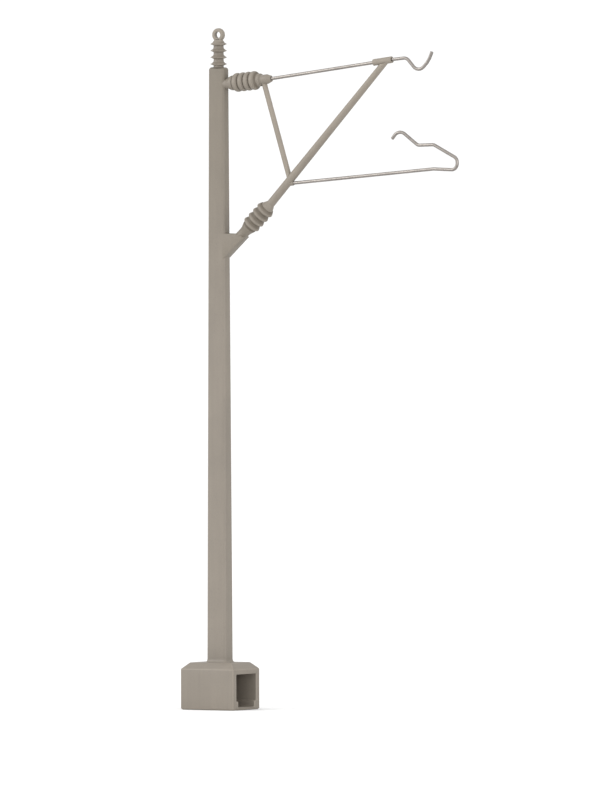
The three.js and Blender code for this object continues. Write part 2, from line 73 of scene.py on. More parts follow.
POST_FOOT_SIZE = (3.37, 2.2)
POST_TOP_SIZE = (2.76, 1.52)
POST_CORNER = 0.42
FILLET_HEIGHT = 0.6
FILLET_REACH = 0.18
FILLET_CURVE = 2.5

HEAD_PITCH = 0.98
HEAD_FIRST_SHED = 0.47
HEAD_SHED_RADIUS = 1.2
HEAD_CORE_RADIUS = 0.77
HEAD_SHED_DROP = 0.2
HEAD_SHED_RISE = 0.36
HEAD_SHED_EDGE = 0.03
HEAD_SHED_CURVE = 1.5
HEAD_GROOVE = 0.05
HEAD_LENGTH = 3.75
HEAD_END_INSET = 0.06
EYE_HEIGHT = 4.76
EYE_RADIUS = 0.98
EYE_HOLE_RADIUS = 0.48
EYE_THICKNESS = 0.69
EYE_ROUNDING = 0.2
EYE_NECK_WIDTH = 1.38
EYE_NECK_CORNER = 0.28
EYE_NECK_FOOT = ((0, 0.3), (0.12, 0.06), (0.3, 0))  # heights on the insulator, and the extra width there
EYE_NECK_OVERLAP = 0.12  # how far the neck runs into the ring

UPPER_ROOT_HEIGHT = 91.83
UPPER_SLOPE = math.radians(6.5)
STUB_LENGTH = 1.37
STUB_ROOT_RADIUS = 0.72
STUB_ROOT_FLARE = 0.03
STUB_END_RADIUS = 1.09
STUB_SWELL = (0.22, 0.92)  # where the stub starts and stops to swell, along its axis
STUB_ROUNDING = 0.16
UPPER_FIRST_SHED = 1.96
UPPER_PITCH = 0.97
UPPER_SHED_RADIUS = 1.4
UPPER_VALLEY_RADIUS = 1.1
UPPER_RIDGE_CURVE = 1.3
UPPER_INSULATOR_END = 5.5
UPPER_FLANGE_RADIUS = 0.95
UPPER_FLANGE_END = 6.02
UPPER_COLLAR_RADIUS = 0.72
UPPER_COLLAR_END = 7.1
UPPER_CONE_RADIUS = 0.45
UPPER_CONE_END = 7.8
UPPER_COLLAR_ROUNDING = 0.09

LOWER_ROOT_HEIGHT = 67.37
LOWER_SLOPE = math.radians(43)
GUSSET_TOP = 69.85
GUSSET_TOP_REACH = 3.1
GUSSET_THICKNESS = 1.72
GUSSET_EDGE = 0.72
GUSSET_END = 3.75
NECK_START = 1.6
NECK_RADIUS = 0.78
NECK_FLARE = 4.3
NECK_ROUNDING = 0.5
GUSSET_EDGE_ROUNDING = 0.12
LOWER_INSULATOR_START = 5.3
LOWER_FIRST_SHED = 5.82
LOWER_PITCH = 1.025
LOWER_SHED_RADIUS = 1.35
LOWER_CORE_RADIUS = 1.1
LOWER_INSULATOR_END = 9.3
LOWER_INSULATOR_SINK = 0.1  # past its start and its end, into the pieces beside it
LOWER_SHED_ROUNDING = 0.06
LOWER_COLLAR_RADIUS = 0.97
LOWER_COLLAR_RIM = 0.2
LOWER_COLLAR_END = 10.24
LOWER_COLLAR_ROUNDING = 0.12

TUBE_SLOPE = math.radians(46.9)
TUBE_LOW_RADIUS = 0.62
TUBE_HIGH_RADIUS = 0.47
TUBE_SINK = 0.06  # how far its lower end reaches into the collar

WIRE_RADIUS = 0.25
WIRE_EDGE = 0.03  # the bevel at a wire's ends
BORE_RADIUS = 0.262
BORE_DEPTH = 4
STRUT_RADIUS = 0.39
STRUT_TOP = (7.86, 92.05)
STRUT_FOOT = (12.3, 77.92)
SLEEVE_RADIUS = 0.5
SLEEVE_LENGTH = 3.2
SLEEVE_SETBACK = 0.6
SLEEVE_ROUNDING = 0.05
ARM_BOSS_RADIUS = 0.36
ARM_BOSS = (0.9, 1.65)  # start and end along the steady arm

# Each wire as its corners: X, Z and the radius it is bent to there
MESSENGER_WIRE = (
    (7.9, 92.52, 0),
    (30.4, 95.97, 2.0),
    (32.5, 96.22, 1.0),
    (34.46, 94.13, 1.2),
    (36.41, 95.8, 4.5),
    (36.87, 97.2, 0),
)
STEADY_ARM = (
    (11.3, 77.29, 0),
    (37.1, 80.0, 3.0),
    (41.2, 79.93, 0.95),
    (41.2, 81.61, 0.9),
    (37.14, 83.56, 0.8),
    (34.41, 83.42, 0.95),
    (31.14, 85.75, 1.3),
    (29.97, 84.28, 0),
)

foot_low, foot_high = (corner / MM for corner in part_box("foot"))
post_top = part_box("mast_post")[1].z / MM
post_base = foot_high.z

# ---- Colours and wear --------------------------------------------------------------------------

PLASTIC_DARK = (0.184, 0.160, 0.131, 1)
PLASTIC_LIGHT = (0.214, 0.186, 0.152, 1)
GROOVE_SHADE_TINT = (0.56, 0.53, 0.48, 1)  # painted shade at the bottom of a groove between two sheds
# painted shade, darker up the post and on the gusset
DIM_SHADE_TINT = (0.80, 0.79, 0.75, 1)
SOCKET_SHADE_TINT = (0.17, 0.13, 0.10, 1)  # painted shade at the back of the foot's socket
UNBRIGHTENED_SHADE = 0.86  # of the plastic where no painted light makes it lighter
WIRE_DARK = (0.205, 0.187, 0.173, 1)
WIRE_LIGHT = (0.285, 0.262, 0.242, 1)

# Shares from 0 to 1 of the painted shades above, and of the painted light that makes plastic lighter
POST_DIM_SHADE_FROM = 55  # height above which the post takes on the painted shade, all of it at the top
# share of that painted shade on the gusset
BRACKET_DIM_SHADE = 0.7
HEAD_PAINTED_LIGHT = 0.6
EYE_PAINTED_LIGHT = 0.7
UPPER_INSULATOR_PAINTED_LIGHT = 0.4
STRUT_PAINTED_LIGHT = 1.0
SLEEVE_PAINTED_LIGHT = 0.7
TUBE_PAINTED_LIGHT = (0.3, 1.0)  # at its lower and its upper end

# ---- Materials ---------------------------------------------------------------------------------


class Nodes:
    """A material's node tree, with one call per node."""

    def __init__(self, name):
        self.material = bpy.data.materials.new(name)
        self.material.use_nodes = True
        self.tree = self.material.node_tree
        self.shader = self.tree.nodes["Principled BSDF"]
        self.place = self.add("ShaderNodeTexCoord").outputs["Object"]

    def add(self, kind, **inputs):
        node = self.tree.nodes.new(kind)
        for name, value in inputs.items():
            self.join(value, node.inputs[name])
        return node

    def join(self, value, socket):
        if isinstance(value, bpy.types.NodeSocket):
            self.tree.links.new(value, socket)
        else:
            socket.default_value = value

    def noise(self, scale, detail=2.0, stretch=(1, 1, 1)):
        """Noise with a feature size of 1 / scale metres, longer along an axis with a small stretch."""
        mapping = self.add("ShaderNodeMapping", Vector=self.place, Scale=stretch)
        place = mapping.outputs["Vector"]
        node = self.add("ShaderNodeTexNoise", Vector=place, Scale=scale, Detail=detail)
        return node.outputs["Fac"]

    def mark(self, name):
        """What mark() stored in the mesh under this name, and 0 where it stored nothing."""
        node = self.add("ShaderNodeAttribute")
        node.attribute_name = name
        return node.outputs["Fac"]

    def ramp(self, value, *stops):
        """The colour at a value, from stops of (position, colour)."""
        node = self.add("ShaderNodeValToRGB", Fac=value)
        elements = node.color_ramp.elements
        elements[0].position, elements[0].color = stops[0]
        elements[1].position, elements[1].color = stops[-1]
        for position, colour in stops[1:-1]:
            elements.new(position).color = colour
        return node.outputs["Color"]

    def multiply(self, first, second):
        node = self.add("ShaderNodeMix")
        node.data_type = "RGBA"
        node.blend_type = "MULTIPLY"
        node.inputs["Factor"].default_value = 1.0
        colours = [socket for socket in node.inputs if socket.type == "RGBA"]
        self.join(first, colours[0])
        self.join(second, colours[1])
        return next(socket for socket in node.outputs if socket.type == "RGBA")

    def map_range(self, value, low, high):
        """A value from 0 to 1, stretched to run from low to high."""
        node = self.add("ShaderNodeMapRange", Value=value)
        node.inputs["To Min"].default_value = low
        node.inputs["To Max"].default_value = high
        return node.outputs["Result"]

    def bump(self, height, distance, strength, normal=None):
        node = self.add("ShaderNodeBump", Height=height, Distance=distance, Strength=strength)
        if normal:
            self.join(normal, node.inputs["Normal"])
        return node.outputs["Normal"]

    def set(self, **inputs):
        for name, value in inputs.items():
            self.join(value, self.shader.inputs[name.replace("_", " ")])


def grey(level):
    return (level, level, level, 1)


def plastic_material():
    """Warm grey moulded plastic: cloudy, with faint flow streaks up the mast and a fine satin grain.

    Marks in the meshes tint it with painted light and shade: a painted highlight on rounded edges and
    lighter thin parts, painted shade in the grooves, up the post and on the gusset, and at the back of the
    socket.
    """
    nodes = Nodes("mast_plastic")
    clouds = nodes.noise(180, detail=4)
    colour = nodes.ramp(clouds, (0.25, PLASTIC_DARK), (0.75, PLASTIC_LIGHT))
    streaks = nodes.noise(1400, detail=3, stretch=(1, 1, 0.06))
    colour = nodes.multiply(colour, nodes.ramp(streaks, (0.3, grey(0.95)), (0.6, grey(1.0))))
    specks = nodes.noise(5200, detail=1)
    colour = nodes.multiply(colour, nodes.ramp(specks, (0.3, grey(0.93)), (0.42, grey(1.0))))
    # Painted light and painted shade, from the marks in the meshes
    painted_light = nodes.ramp(nodes.mark("painted_light"), (0.0, grey(UNBRIGHTENED_SHADE)), (1.0, grey(1.0)))
    groove_shade = nodes.ramp(nodes.mark("groove_shade"), (0.1, grey(1.0)), (1.0, GROOVE_SHADE_TINT))
    dim_shade = nodes.ramp(nodes.mark("dim_shade"), (0.0, grey(1.0)), (1.0, DIM_SHADE_TINT))
    socket_shade = nodes.ramp(nodes.mark("socket_shade"), (0.0, grey(1.0)), (1.0, SOCKET_SHADE_TINT))
    for tint in (painted_light, groove_shade, dim_shade, socket_shade):
        colour = nodes.multiply(colour, tint)
    grain = nodes.bump(nodes.noise(9000, detail=3), 0.00003, 0.35)
    ripple = nodes.bump(nodes.noise(700, detail=2), 0.00006, 0.25, grain)
    nodes.set(Base_Color=colour, Roughness=nodes.map_range(clouds, 0.46, 0.6), Normal=ripple)
    nodes.set(IOR=1.46)
    return nodes.material


def wire_material():
    """Drawn wire, satin: bright metal with dull patches and fine marks across it."""
    nodes = Nodes("wire_metal")
    patches = nodes.noise(420, detail=4)
    colour = nodes.ramp(patches, (0.3, WIRE_DARK), (0.7, WIRE_LIGHT))
    marks = nodes.noise(6500, detail=2, stretch=(1, 0.3, 1))
    colour = nodes.multiply(colour, nodes.ramp(marks, (0.32, grey(0.82)), (0.5, grey(1.0))))
    scuffs = nodes.bump(marks, 0.00002, 0.3)
    nodes.set(Base_Color=colour, Roughness=nodes.map_range(patches, 0.32, 0.46), Normal=scuffs)
    nodes.set(Metallic=1.0)
    return nodes.material


plastic = plastic_material()
wire_metal = wire_material()

# ---- Frames and outlines -----------------------------------------------------------------------


def arm_frame(x, z, slope):
    """A frame at (x, z) whose +Z rises from +X by the slope, and whose +X is on its underside."""
    return Matrix.Translation((x, 0, z)) @ Matrix.Rotation(math.pi / 2 - slope, 4, "Y")


def frame_between(start, end):
    return arm_frame(start[0], start[1], math.atan2(end[1] - start[1], end[0] - start[0]))


def travel_to_crossing(matrix, other):
    """How far along a frame's axis it meets the axis of another frame in the plane Y = 0."""
    a, b = matrix.col[2], other.col[2]
    between = other.translation - matrix.translation
    return (between.x * b.z - between.z * b.x) / (a.x * b.z - a.z * b.x)


def post_size(height, axis):
    share = (height - post_base) / (post_top - post_base)
    return POST_FOOT_SIZE[axis] + (POST_TOP_SIZE[axis] - POST_FOOT_SIZE[axis]) * share


def arc(centre, radius, start, end, steps):
    """Points on a circle from one angle to another, both ends included."""
    angles = [start + (end - start) * i / steps for i in range(steps + 1)]
    return [(centre[0] + radius * math.cos(a), centre[1] + radius * math.sin(a)) for a in angles]


def soften(points, radius, steps=3, closed=False):
    """A polyline with its corners rounded, less where its edges are short."""
    softened = []
    count = len(points)
    for i, point in enumerate(points):
        corner = Vector(point)
        if not closed and i in (0, count - 1):
            softened.append(tuple(corner))
            continue
        to_before = Vector(points[i - 1]) - corner
        to_after = Vector(points[(i + 1) % count]) - corner
        reach = min(radius, 0.45 * to_before.length, 0.45 * to_after.length)
        start = corner + to_before.normalized() * reach
        end = corner + to_after.normalized() * reach
        for step in range(steps + 1):
            t = step / steps
            blend = start * (1 - t) ** 2 + corner * 2 * t * (1 - t) + end * t * t
            softened.append(tuple(blend))
    return softened


def rounded_rectangle(size_x, size_y, corner):
    x = size_x / 2 - corner
    y = size_y / 2 - corner
    points = []
    for quarter, (sign_x, sign_y) in enumerate(((1, 1), (-1, 1), (-1, -1), (1, -1))):
        start = quarter * math.pi / 2
        points += arc((sign_x * x, sign_y * y), corner, start, start + math.pi / 2, CORNER_STEPS)
    return points


head_frame = Matrix.Translation((0, 0, post_top))
upper_frame = arm_frame(post_size(UPPER_ROOT_HEIGHT, 0) / 2, UPPER_ROOT_HEIGHT, UPPER_SLOPE)
lower_frame = arm_frame(post_size(LOWER_ROOT_HEIGHT, 0) / 2, LOWER_ROOT_HEIGHT, LOWER_SLOPE)
tube_start = lower_frame @ Vector((0, 0, LOWER_COLLAR_END))
tube_frame = arm_frame(tube_start.x, tube_start.z, TUBE_SLOPE)
messenger_frame = frame_between(*MESSENGER_WIRE[:2])
tube_length = travel_to_crossing(tube_frame, messenger_frame)
sleeve_travel = travel_to_crossing(messenger_frame, tube_frame) - SLEEVE_SETBACK
sleeve_frame = messenger_frame @ Matrix.Translation((0, 0, sleeve_travel))
strut_frame = frame_between(STRUT_TOP, STRUT_FOOT)

# ---- Meshes, in millimetres --------------------------------------------------------------------


def skin(rings, matrix=Matrix()):
    """A closed mesh over rings of points that all have the same count."""
    mesh = bmesh.new()
    rows = [[mesh.verts.new(matrix @ Vector(point)) for point in ring] for ring in rings]
    count = len(rows[0])
    for low, high in zip(rows, rows[1:]):
        for i in range(count):
            j = (i + 1) % count
            mesh.faces.new((low[i], low[j], high[j], high[i]))
    mesh.faces.new(reversed(rows[0]))
    mesh.faces.new(rows[-1])
    return mesh


def turned(profile, matrix):
    """A closed solid turned about +Z from (radius, height) points that rise from end to end."""
    angles = [2 * math.pi * i / TURNED_SIDES for i in range(TURNED_SIDES)]
    rings = [
        [(radius * math.cos(a), radius * math.sin(a), height) for a in angles]
        for radius, height in profile
    ]
    return skin(rings, matrix)


def hoop(section, matrix):
    """A ring turned about +Z from a closed section of (radius, height) points."""
    mesh = bmesh.new()
    rows = []
    for i in range(TURNED_SIDES):
        angle = 2 * math.pi * i / TURNED_SIDES
        turn = matrix @ Matrix.Rotation(angle, 4, "Z")
        rows.append([mesh.verts.new(turn @ Vector((radius, 0, height))) for radius, height in section])
    for i, row in enumerate(rows):
        after = rows[(i + 1) % TURNED_SIDES]
        for j in range(len(row)):
            k = (j + 1) % len(row)
            mesh.faces.new((row[j], after[j], after[k], row[k]))
    return mesh


def rod(radius, start, end, matrix, edge=ROD_EDGE):
    """A cylinder about +Z with bevelled ends."""
    profile = [(radius - edge, start), (radius, start + edge), (radius, end - edge), (radius - edge, end)]
    return turned(profile, matrix)


def plate(outline, thickness):
    """A flat plate in the plane Y = 0 from (x, z) points that run anticlockwise."""
    half = thickness / 2
    return skin([[(x, y, z) for x, z in outline] for y in (half, -half)])


def joined(*meshes):
    """One mesh from several, which are used up."""
    whole = meshes[0]
    for extra in meshes[1:]:
        data = bpy.data.meshes.new("extra")
        extra.to_mesh(data)
        extra.free()
        whole.from_mesh(data)
        bpy.data.meshes.remove(data)
    return whole


def mark(mesh, name, value_at):
    """Stores a value from 0 to 1 at each point, which a material can tint by."""
    layer = mesh.verts.layers.float.new(name)
    for vertex in mesh.verts:
        vertex[layer] = min(max(value_at(vertex.co), 0.0), 1.0)


def mark_groove_shade(mesh, matrix, crest_radius, groove_radius):
    """Marks a turned mesh from 0 on its crests to 1 in its grooves, for a painted shade in the grooves."""
    to_axis = matrix.inverted()

    def depth(place):
        return (crest_radius - (to_axis @ place).xy.length) / (crest_radius - groove_radius)

    mark(mesh, "groove_shade", depth)


def mark_edge_highlights(mesh):
    """Marks the middle of each rounded edge, where the faces all round a point are narrow, for a painted
    highlight along the edges.
    """
    narrow = 0.1 * MM
    painted_light = mesh.verts.layers.float.new("painted_light")
    for vertex in mesh.verts:
        widths = [2 * face.calc_area() / face.calc_perimeter() for face in vertex.link_faces]
        vertex[painted_light] = float(max(widths) < narrow)


def make_object(name, mesh):
    """An object in metres from a mesh in millimetres, which is used up."""
    mesh.normal_update()
    bmesh.ops.recalc_face_normals(mesh, faces=mesh.faces)
    mesh.transform(Matrix.Scale(MM, 4))
    data = bpy.data.meshes.new(name)
    mesh.to_mesh(data)
    mesh.free()
    piece = bpy.data.objects.new(name, data)
    bpy.context.collection.objects.link(piece)
    return piece


def bake_modifiers(piece):
    """The piece's mesh with its modifiers applied, which then go."""
    graph = bpy.context.evaluated_depsgraph_get()
    data = bpy.data.meshes.new_from_object(piece.evaluated_get(graph))
    piece.modifiers.clear()
    piece.data = data


def combine(piece, other, operation):
    """Cuts a mesh from the piece, or fuses it to the piece. The other mesh is used up."""
    tool = make_object("tool", other)
    modifier = piece.modifiers.new("combine", "BOOLEAN")
    modifier.operation = operation
    modifier.solver = "EXACT"
    modifier.object = tool
    bake_modifiers(piece)
    bpy.data.objects.remove(tool)


def edit_mesh(piece, *edits):
    """Runs each edit on a piece's mesh, opened as a bmesh."""
    mesh = bmesh.new()
    mesh.from_mesh(piece.data)
    for edit in edits:
        edit(mesh)
    mesh.to_mesh(piece.data)
    mesh.free()


def round_edges(piece, width):
    modifier = piece.modifiers.new("edges", "BEVEL")
    modifier.width = width * MM
    modifier.segments = 3
    modifier.limit_method = "ANGLE"
    modifier.angle_limit = math.radians(30)
    modifier.miter_outer = "MITER_ARC"
    bake_modifiers(piece)


def finish_piece(piece, node, body="mast", slot="mast_plastic", material=plastic, sharp=35):
    """Smooths a piece except at edges sharper than an angle in degrees, gives it its material, puts it on
    its body and hides the CAD node it replaces.
    """
    for polygon in piece.data.polygons:
        polygon.use_smooth = True
    piece.data.set_sharp_from_angle(angle=math.radians(sharp))
    piece.data.materials.clear()
    piece.data.materials.append(material)
    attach(piece, body)
    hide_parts(node)


def add_piece(name, mesh, node, painted_light=0.0, **finish):
    """A finished piece from a mesh, which painted light makes lighter all over where its share of it is
    more than 0.
    """
    if painted_light:
        mark(mesh, "painted_light", lambda place: painted_light)
    piece = make_object(name, mesh)
    finish_piece(piece, node, **finish)


# ---- Foot and post -----------------------------------------------------------------------------


def socket_outline():
    """The socket's cross-section in Y and Z, narrowed at the bottom by a rib along each side."""
    wide = SOCKET_WIDTH / 2
    narrow = wide - RIB_REACH
    right = [(narrow, SOCKET_FLOOR), (narrow, RIB_HEIGHT), (wide, RIB_HEIGHT), (wide, SOCKET_CEILING)]
    left = [(-y, z) for y, z in reversed(right)]
    return right + left


def socket_depth(place):
    """0 on the foot's outside and at the socket's mouth, and 1 at its back: the share of the painted shade
    there.
    """
    x = place.x / MM
    y = abs(place.y) / MM
    z = place.z / MM
    slack = 0.05
    if y > SOCKET_WIDTH / 2 + slack or not SOCKET_FLOOR - slack < z < SOCKET_CEILING + slack:
        return 0
    return (foot_high.x - x) / (foot_high.x - foot_low.x - SOCKET_BACK_WALL)


def make_foot():
    """A chamfered block with softened edges, hollowed from its track side."""
    size_x = foot_high.x - foot_low.x
    size_y = foot_high.y - foot_low.y
    inward, downward = FOOT_CHAMFER
    levels = (
        (0, FOOT_LOW_EDGE),
        (FOOT_LOW_EDGE, 0),
        (foot_high.z - downward, 0),
        (foot_high.z, inward),
    )
    rings = [
        [(x, y, height) for x, y in rounded_rectangle(size_x - 2 * inset, size_y - 2 * inset, FOOT_CORNER)]
        for height, inset in levels
    ]
    piece = make_object("foot_shell", skin(rings))
    start = foot_low.x + SOCKET_BACK_WALL
    past = foot_high.x + 1
    socket = skin([[(x, y, z) for y, z in socket_outline()] for x in (start, past)])
    combine(piece, socket, "DIFFERENCE")
    round_edges(piece, FOOT_EDGE_ROUNDING)
    # Painted shade deepening towards the back of the socket, and a painted highlight along the rounded
    # edges
    edit_mesh(piece, lambda mesh: mark(mesh, "socket_shade", socket_depth), mark_edge_highlights)
    finish_piece(piece, "foot")


def make_post():
    """Tapered, with rounded corners, a fillet on the foot and a softened top."""
    levels = []  # (height, inset from the tapered faces)
    for step in range(7):
        t = step / 6
        levels.append((post_base + FILLET_HEIGHT * t, -FILLET_REACH * (1 - t) ** FILLET_CURVE))
    for share in (0.25, 0.55, 0.7, 0.85):
        levels.append((post_base + (post_top - post_base) * share, 0))
    for step in range(6):
        angle = step * math.pi / 10
        levels.append((
            post_top - POST_CORNER * (1 - math.sin(angle)),
            POST_CORNER * (1 - math.cos(angle)),
        ))
    rings = []
    for height, inset in levels:
        size_x, size_y = (post_size(height, axis) - 2 * inset for axis in (0, 1))
        corner = max(POST_CORNER - max(inset, 0), 0.05)
        rings.append([(x, y, height) for x, y in rounded_rectangle(size_x, size_y, corner)])
    mesh = skin(rings)
    # Painted shade, darker towards the top of the post
    mark(mesh, "dim_shade", lambda place: (place.z - POST_DIM_SHADE_FROM) / (post_top - POST_DIM_SHADE_FROM))
    add_piece("post_body", mesh, "mast_post")


# ---- Head --------------------------------------------------------------------------------------


def make_head_insulator():
    """Thin sheds with a flat underside, each running up into the core in a hollow curve."""
    profile = [(HEAD_CORE_RADIUS, 0)]
    for shed in range(4):
        height = HEAD_FIRST_SHED + shed * HEAD_PITCH
        rim = height + HEAD_SHED_EDGE
        profile.append((HEAD_CORE_RADIUS - HEAD_GROOVE, height - HEAD_SHED_DROP - HEAD_GROOVE))
        profile.append((HEAD_CORE_RADIUS, height - HEAD_SHED_DROP))
        profile.append((HEAD_SHED_RADIUS, height - HEAD_SHED_EDGE))
        profile.append((HEAD_SHED_RADIUS, rim))
        for step in range(1, 7):
            t = step / 6
            radius = HEAD_CORE_RADIUS + (HEAD_SHED_RADIUS - HEAD_CORE_RADIUS) * (1 - t) ** HEAD_SHED_CURVE
            profile.append((radius, rim + HEAD_SHED_RISE * t))
    profile.append((HEAD_CORE_RADIUS - HEAD_END_INSET, HEAD_LENGTH))
    mesh = turned(profile, head_frame)
    full_tint_radius = HEAD_CORE_RADIUS - 0.9  # past the axis: the core gets about a quarter of the painted groove shade
    mark_groove_shade(mesh, head_frame, HEAD_SHED_RADIUS, full_tint_radius)
    add_piece("head_insulator_sheds", mesh, "head_insulator", painted_light=HEAD_PAINTED_LIGHT)


def make_head_eye():
    """A flat ring with rounded edges, on a neck that flares where it meets the insulator."""
    half = EYE_THICKNESS / 2
    square = [(EYE_HOLE_RADIUS, -half), (EYE_RADIUS, -half), (EYE_RADIUS, half), (EYE_HOLE_RADIUS, half)]
    section = soften(soften(square, EYE_ROUNDING), EYE_ROUNDING / 4, steps=2, closed=True)
    across = head_frame @ Matrix.Translation((0, 0, EYE_HEIGHT)) @ Matrix.Rotation(math.pi / 2, 4, "X")
    neck_top = EYE_HEIGHT - EYE_HOLE_RADIUS - EYE_NECK_OVERLAP
    levels = [(HEAD_LENGTH + height, grow) for height, grow in EYE_NECK_FOOT] + [(neck_top, 0)]
    rings = []
    for height, grow in levels:
        outline = rounded_rectangle(EYE_NECK_WIDTH + grow, EYE_THICKNESS + grow, EYE_NECK_CORNER)
        rings.append([(x, y, height) for x, y in outline])
    mesh = joined(hoop(section, across), skin(rings, head_frame))
    add_piece("head_eye_ring", mesh, "head_eye", painted_light=EYE_PAINTED_LIGHT, sharp=50)


# ---- Upper arm ---------------------------------------------------------------------------------


def make_upper_bracket():
    """A stub that leaves the post in a fillet and swells to a barrel."""
    inside = -0.4
    swell_start, swell_end = STUB_SWELL
    points = [
        (STUB_ROOT_RADIUS + STUB_ROOT_FLARE, inside),
        (STUB_ROOT_RADIUS + STUB_ROOT_FLARE, 0),
        (STUB_ROOT_RADIUS, swell_start),
        (STUB_END_RADIUS, swell_end),
        (STUB_END_RADIUS, STUB_LENGTH),
        (STUB_END_RADIUS - 0.1, STUB_LENGTH + 0.02),
    ]
    add_piece("upper_stub", turned(soften(points, STUB_ROUNDING), upper_frame), "upper_bracket")


def make_upper_insulator():
    """Four round ridges with sharp grooves between them."""
    half = UPPER_PITCH * 0.48
    depth = UPPER_SHED_RADIUS - UPPER_VALLEY_RADIUS
    start = STUB_LENGTH + GAP
    profile = [(STUB_END_RADIUS - 0.16, start), (UPPER_VALLEY_RADIUS, start + 0.04)]
    for shed in range(4):
        middle = UPPER_FIRST_SHED + shed * UPPER_PITCH
        for step in range(13):
            angle = math.pi * (1 - step / 12)
            along = middle + half * math.cos(angle)
            profile.append((UPPER_VALLEY_RADIUS + depth * math.sin(angle) ** UPPER_RIDGE_CURVE, along))
    profile.append((UPPER_FLANGE_RADIUS, UPPER_INSULATOR_END))
    mesh = turned(profile, upper_frame)
    # Painted shade in the grooves between the ridges
    mark_groove_shade(mesh, upper_frame, UPPER_SHED_RADIUS, UPPER_VALLEY_RADIUS)
    add_piece("upper_insulator_ridges", mesh, "upper_insulator", painted_light=UPPER_INSULATOR_PAINTED_LIGHT)


def make_upper_collar():
    """A flange, a sleeve and a cone, bored for the messenger wire."""
    start = UPPER_INSULATOR_END + GAP
    points = [
        (UPPER_FLANGE_RADIUS, start),
        (UPPER_FLANGE_RADIUS, UPPER_FLANGE_END),
        (UPPER_COLLAR_RADIUS, UPPER_FLANGE_END + 0.04),
        (UPPER_COLLAR_RADIUS, UPPER_COLLAR_END),
        (UPPER_CONE_RADIUS, UPPER_CONE_END),
        (UPPER_CONE_RADIUS - 0.1, UPPER_CONE_END),
    ]
    piece = make_object("upper_collar_body", turned(soften(points, UPPER_COLLAR_ROUNDING), upper_frame))
    combine(piece, rod(BORE_RADIUS, 0, BORE_DEPTH, messenger_frame, edge=0), "DIFFERENCE")
    finish_piece(piece, "upper_collar")


def make_strut():
    length = (Vector(STRUT_FOOT) - Vector(STRUT_TOP)).length
    add_piece("strut_rod", rod(STRUT_RADIUS, 0, length, strut_frame), "strut", painted_light=STRUT_PAINTED_LIGHT)


# ---- Lower arm ---------------------------------------------------------------------------------


def lower_arm_point(along, across):
    """The (x, z) of a point along the lower arm's axis, and across it to the underside."""
    point = lower_frame @ Vector((across, 0, along))
    return point.x, point.z


def make_lower_bracket():
    """A gusset with a level top, and a round neck that flares to the insulator."""
    root = post_size(GUSSET_TOP, 0) / 2 - POST_CORNER
    corner_x, corner_z = lower_arm_point(GUSSET_END, GUSSET_EDGE)
    outline = [
        (root, corner_z - (corner_x - root) * math.tan(LOWER_SLOPE)),
        (corner_x, corner_z),
        (GUSSET_TOP_REACH, GUSSET_TOP),
        (root, GUSSET_TOP),
    ]
    piece = make_object("lower_gusset", plate(outline, GUSSET_THICKNESS))
    points = [
        (NECK_RADIUS, NECK_START),
        (NECK_RADIUS, NECK_FLARE),
        (LOWER_CORE_RADIUS, LOWER_INSULATOR_START - 0.12),
        (LOWER_CORE_RADIUS, LOWER_INSULATOR_START - GAP),
        (LOWER_CORE_RADIUS - 0.2, LOWER_INSULATOR_START - GAP),
    ]
    combine(piece, turned(soften(points, NECK_ROUNDING, steps=6), lower_frame), "UNION")
    round_edges(piece, GUSSET_EDGE_ROUNDING)
    # Painted shade all over the gusset
    edit_mesh(piece, lambda mesh: mark(mesh, "dim_shade", lambda place: BRACKET_DIM_SHADE))
    finish_piece(piece, "lower_bracket")


def make_lower_insulator():
    """Sheds like saw teeth: steep towards the post, sloping towards the tube."""
    profile = [(LOWER_CORE_RADIUS, LOWER_INSULATOR_START - LOWER_INSULATOR_SINK)]
    for shed in range(4):
        along = LOWER_FIRST_SHED + shed * LOWER_PITCH
        profile += [
            (LOWER_CORE_RADIUS, along - 0.3),
            (LOWER_SHED_RADIUS, along - 0.14),
            (LOWER_SHED_RADIUS, along - 0.05),
            (LOWER_CORE_RADIUS + 0.1, along + 0.3),
            (LOWER_CORE_RADIUS, along + 0.5),
        ]
    profile.append((LOWER_COLLAR_RADIUS, LOWER_INSULATOR_END + LOWER_INSULATOR_SINK))
    mesh = turned(soften(profile, LOWER_SHED_ROUNDING), lower_frame)
    # Painted shade in the grooves between the sheds
    mark_groove_shade(mesh, lower_frame, LOWER_SHED_RADIUS - 0.02, LOWER_CORE_RADIUS + 0.08)
    add_piece("lower_insulator_sheds", mesh, "lower_insulator")


def make_lower_collar():
    """A short rim, then a cone down to the tube."""
    points = [
        (LOWER_COLLAR_RADIUS, LOWER_INSULATOR_END + GAP),
        (LOWER_COLLAR_RADIUS, LOWER_INSULATOR_END + LOWER_COLLAR_RIM),
        (TUBE_LOW_RADIUS, LOWER_COLLAR_END),
        (TUBE_LOW_RADIUS - 0.1, LOWER_COLLAR_END),
    ]
    mesh = turned(soften(points, LOWER_COLLAR_ROUNDING), lower_frame)
    add_piece("lower_collar_cone", mesh, "lower_collar")


